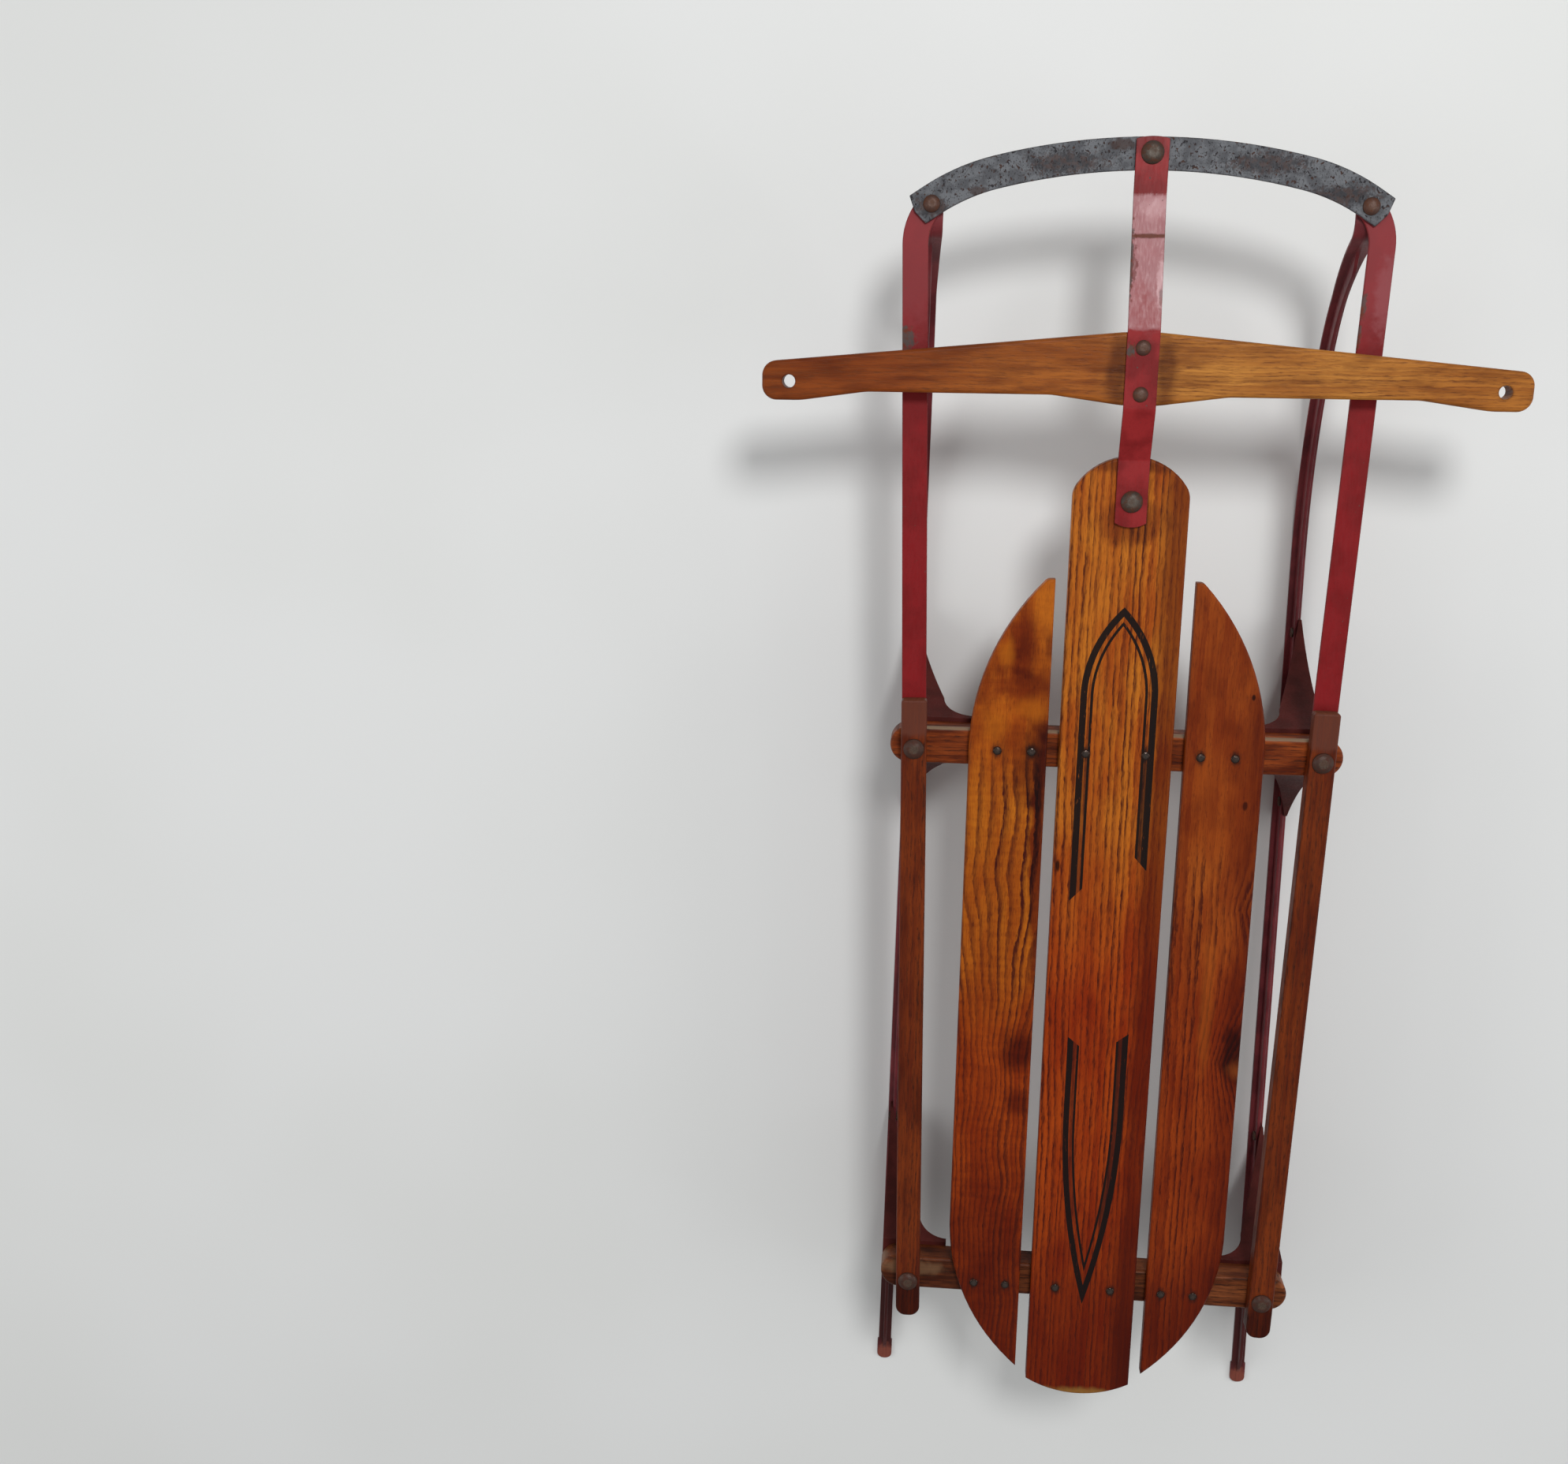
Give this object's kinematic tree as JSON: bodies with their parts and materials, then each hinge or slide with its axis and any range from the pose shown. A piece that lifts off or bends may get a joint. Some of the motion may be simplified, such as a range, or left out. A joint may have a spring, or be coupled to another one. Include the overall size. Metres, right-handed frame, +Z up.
{
  "type": "steerable snow sled",
  "caption": "Low wooden deck sled on steel runners, steered by a cross bar that swings the bumper, side straps and runner noses.",
  "frame": {"origin": "centre of the bounding box on the ground under the runners", "axes": "+Z up, +Y forward to the bumper, +X to the rider's right"},
  "size_m": [0.569, 1.133, 0.185],
  "materials": {
    "varnished_ash": "satin varnish, worn",
    "red_paint": "gloss enamel, chipped",
    "maroon_paint": "satin enamel, dull",
    "grey_blue_paint": "worn enamel",
    "weathered_steel": "weathered"
  },
  "bodies": {
    "frame": {"deck_slat_center": "varnished_ash", "deck_slat_left": "varnished_ash", "deck_slat_right": "varnished_ash", "bunk_front": "varnished_ash", "bunk_rear": "varnished_ash", "side_rail_left": "varnished_ash", "side_rail_right": "varnished_ash", "runner_left": "maroon_paint", "runner_right": "maroon_paint", "knee_front_left": "maroon_paint", "knee_front_right": "maroon_paint", "knee_rear_left": "maroon_paint", "knee_rear_right": "maroon_paint", "bunk_bolts": "weathered_steel", "pivot_bolt": "weathered_steel", "knee_rivets_left": "weathered_steel", "knee_rivets_right": "weathered_steel", "deck_nails_front": "weathered_steel", "deck_nails_rear": "weathered_steel"},
    "steering": {"steering_bar": "varnished_ash", "center_strap": "red_paint", "steering_bar_bolts": "weathered_steel", "bumper_bolt": "weathered_steel"},
    "bumper_bar": {"bumper": "grey_blue_paint"},
    "nose_left": {"side_strap_left": "red_paint", "runner_nose_left": "maroon_paint", "bumper_rivet_left": "weathered_steel"},
    "nose_right": {"side_strap_right": "red_paint", "runner_nose_right": "maroon_paint", "bumper_rivet_right": "weathered_steel"}
  },
  "joints": [
    {"name": "steering_turn", "type": "hinge", "parent": "frame", "child": "steering", "pos_m": [0, 0.3008, 0.166], "axis": [0, 0, 1], "range_deg": [-8, 8], "stiffness_Nm_per_rad": 6},
    {"name": "bumper_swing", "type": "hinge", "parent": "steering", "child": "bumper_bar", "pos_m": [0, 0.555, 0.16], "axis": [0, 0, 1], "range_deg": [-8, 8]},
    {"name": "nose_left_swing", "type": "hinge", "parent": "frame", "child": "nose_left", "pos_m": [-0.1602, 0.1, 0.1565], "axis": [0, 0, 1], "range_deg": [-4.86, 4.86]},
    {"name": "nose_right_swing", "type": "hinge", "parent": "frame", "child": "nose_right", "pos_m": [0.1602, 0.1, 0.1565], "axis": [0, 0, 1], "range_deg": [-4.86, 4.86]}
  ],
  "couplings": [
    {"joint": "bumper_swing", "follows": "steering_turn", "ratio": -1},
    {"joint": "nose_left_swing", "follows": "steering_turn", "ratio": 0.6074},
    {"joint": "nose_right_swing", "follows": "steering_turn", "ratio": 0.6074}
  ]
}
